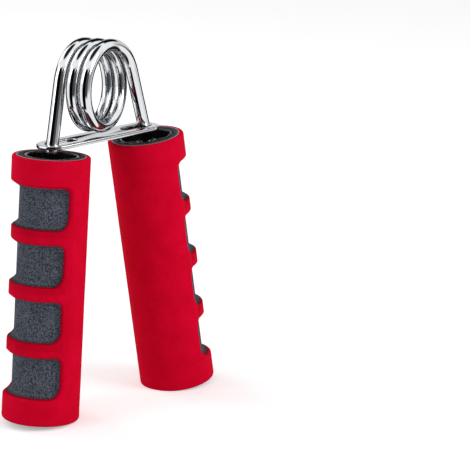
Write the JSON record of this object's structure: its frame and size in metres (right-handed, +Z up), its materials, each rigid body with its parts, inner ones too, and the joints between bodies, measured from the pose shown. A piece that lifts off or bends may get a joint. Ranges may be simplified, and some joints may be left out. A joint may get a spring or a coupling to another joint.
{
  "type": "hand grip strengthener",
  "caption": "Hand grip strengthener: a sprung wire coil whose legs pass through a slotted limiter plate into foam-covered handles with finger grooves.",
  "frame": {"origin": "centre of the footprint on the floor, on the half-turn axis between the handles", "axes": "+Z up the standing grip, +X from the left handle to the right one, +Y along the coil's axis towards the left leg's end"},
  "size_m": [0.0954, 0.058, 0.1493],
  "materials": {
    "spring_wire": "mirror-bright plated steel",
    "plate": "mirror-bright plated steel",
    "core": "glossy black moulding",
    "inner_foam": "matt, fine-pored slate-grey foam",
    "outer_foam": "matt, fine-pored crimson foam"
  },
  "bodies": {
    "coil": {"spring_coil": "spring_wire"},
    "plate": {"limiter_plate": "plate"},
    "left_grip": {"left_spring_leg": "spring_wire", "left_core": "core", "left_inner_foam": "inner_foam", "left_outer_foam": "outer_foam"},
    "right_grip": {"right_spring_leg": "spring_wire", "right_core": "core", "right_inner_foam": "inner_foam", "right_outer_foam": "outer_foam"}
  },
  "joints": [
    {"name": "left_squeeze", "type": "hinge", "parent": "coil", "child": "left_grip", "pos_m": [0, 0, 0.13065], "axis": [0, -1, 0], "range_deg": [0, 10], "stiffness_Nm_per_rad": 50, "springref_deg": -4.98},
    {"name": "right_squeeze", "type": "hinge", "parent": "coil", "child": "right_grip", "pos_m": [0, 0, 0.13065], "axis": [0, 1, 0], "range_deg": [0, 10], "stiffness_Nm_per_rad": 50, "springref_deg": -4.98},
    {"name": "plate_swivel", "type": "hinge", "parent": "coil", "child": "plate", "pos_m": [0, 0, 0.1101], "axis": [0, 0, -1], "range_deg": [0, 4]}
  ],
  "couplings": [
    {"joint": "right_squeeze", "follows": "left_squeeze", "ratio": 1},
    {"joint": "plate_swivel", "follows": "left_squeeze", "ratio": 0.391}
  ]
}
